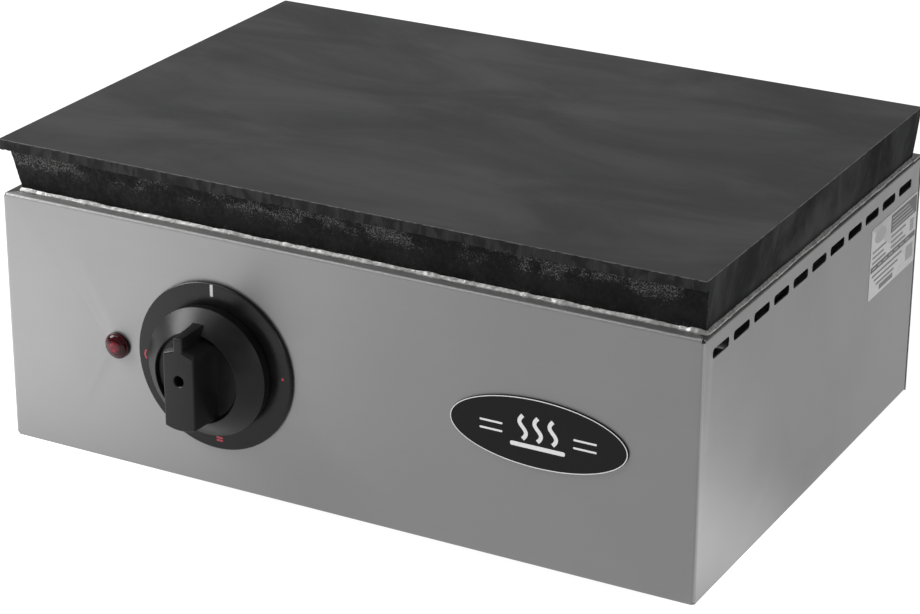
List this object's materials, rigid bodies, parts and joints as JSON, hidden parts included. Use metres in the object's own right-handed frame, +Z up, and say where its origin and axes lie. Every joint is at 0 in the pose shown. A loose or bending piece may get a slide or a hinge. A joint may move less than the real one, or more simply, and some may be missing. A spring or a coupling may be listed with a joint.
{
  "type": "electric hot plate",
  "caption": "Table-top electric hot plate: cast-iron cooking plate on a folded steel casing, with a rotary heat knob, an indicator lamp and a rear cable gland.",
  "frame": {"origin": "middle of the whole object's footprint, on the surface the feet stand on", "axes": "+X to the right across the front, +Y from the front to the back, +Z up"},
  "size_m": [0.4171, 0.363, 0.184],
  "materials": {
    "brushed_stainless": "horizontally brushed stainless sheet, satin",
    "galvanised_sheet": "plain galvanised sheet",
    "zinc_plating": "bright zinc plating",
    "cast_iron": "machined and seasoned top, rough cast sides",
    "heatproof_sealant": "silvery heatproof sealant, lumpy",
    "element_sheath": "heat-darkened steel sheath",
    "mineral_wool": "pressed mineral wool",
    "black_plastic": "satin black moulding",
    "switch_moulding": "brown thermoset moulding",
    "brass": "plain brass",
    "red_lens": "clear red plastic",
    "badge_enamel": "black printed oval with a pale line",
    "label_film": "pale printed label film",
    "foot_rubber": "black rubber",
    "terminal_ceramic": "unglazed ceramic",
    "glass_sleeve": "woven glass sleeve",
    "brown_insulation": "brown insulation",
    "blue_insulation": "blue insulation"
  },
  "bodies": {
    "casing": {"hot_plate": "cast_iron", "heating_element_1": "element_sheath", "heating_element_2": "element_sheath", "heating_element_3": "element_sheath", "element_cover": "galvanised_sheet", "insulation_mat": "mineral_wool", "heat_shield": "galvanised_sheet", "support_rail_left": "galvanised_sheet", "support_rail_right": "galvanised_sheet", "plate_stud_1": "zinc_plating", "plate_stud_2": "zinc_plating", "plate_stud_3": "zinc_plating", "plate_stud_4": "zinc_plating", "plate_nut_1": "zinc_plating", "plate_nut_2": "zinc_plating", "plate_nut_3": "zinc_plating", "plate_nut_4": "zinc_plating", "plate_seal": "heatproof_sealant", "casing_shell": "brushed_stainless", "rear_panel": "brushed_stainless", "rear_panel_screw_1": "zinc_plating", "rear_panel_screw_2": "zinc_plating", "rear_panel_screw_3": "zinc_plating", "rear_panel_screw_4": "zinc_plating", "base_plate": "galvanised_sheet", "foot_1": "foot_rubber", "foot_2": "foot_rubber", "foot_3": "foot_rubber", "foot_4": "foot_rubber", "foot_screw_1": "zinc_plating", "foot_screw_2": "zinc_plating", "foot_screw_3": "zinc_plating", "foot_screw_4": "zinc_plating", "knob_bezel": "black_plastic", "switch_housing": "switch_moulding", "switch_cover": "switch_moulding", "switch_screw_1": "zinc_plating", "switch_screw_2": "zinc_plating", "indicator_lens": "red_lens", "indicator_body": "black_plastic", "indicator_nut": "black_plastic", "badge": "badge_enamel", "rating_label": "label_film", "cable_gland": "black_plastic", "gland_nut": "black_plastic", "terminal_block": "terminal_ceramic", "earth_stud": "brass", "earth_nut": "brass", "bus_bar": "brass", "element_wire_1": "glass_sleeve", "element_wire_2": "glass_sleeve", "element_wire_3": "glass_sleeve", "lamp_wire": "glass_sleeve", "live_wire": "brown_insulation", "neutral_wire": "blue_insulation"},
    "knob": {"knob": "black_plastic", "switch_shaft": "brass", "switch_cam": "switch_moulding"}
  },
  "joints": [
    {"name": "knob_turn", "type": "hinge", "parent": "casing", "child": "knob", "pos_m": [-0.0728, -0.1455, 0.0796], "axis": [0, 1, 0], "continuous": true}
  ]
}
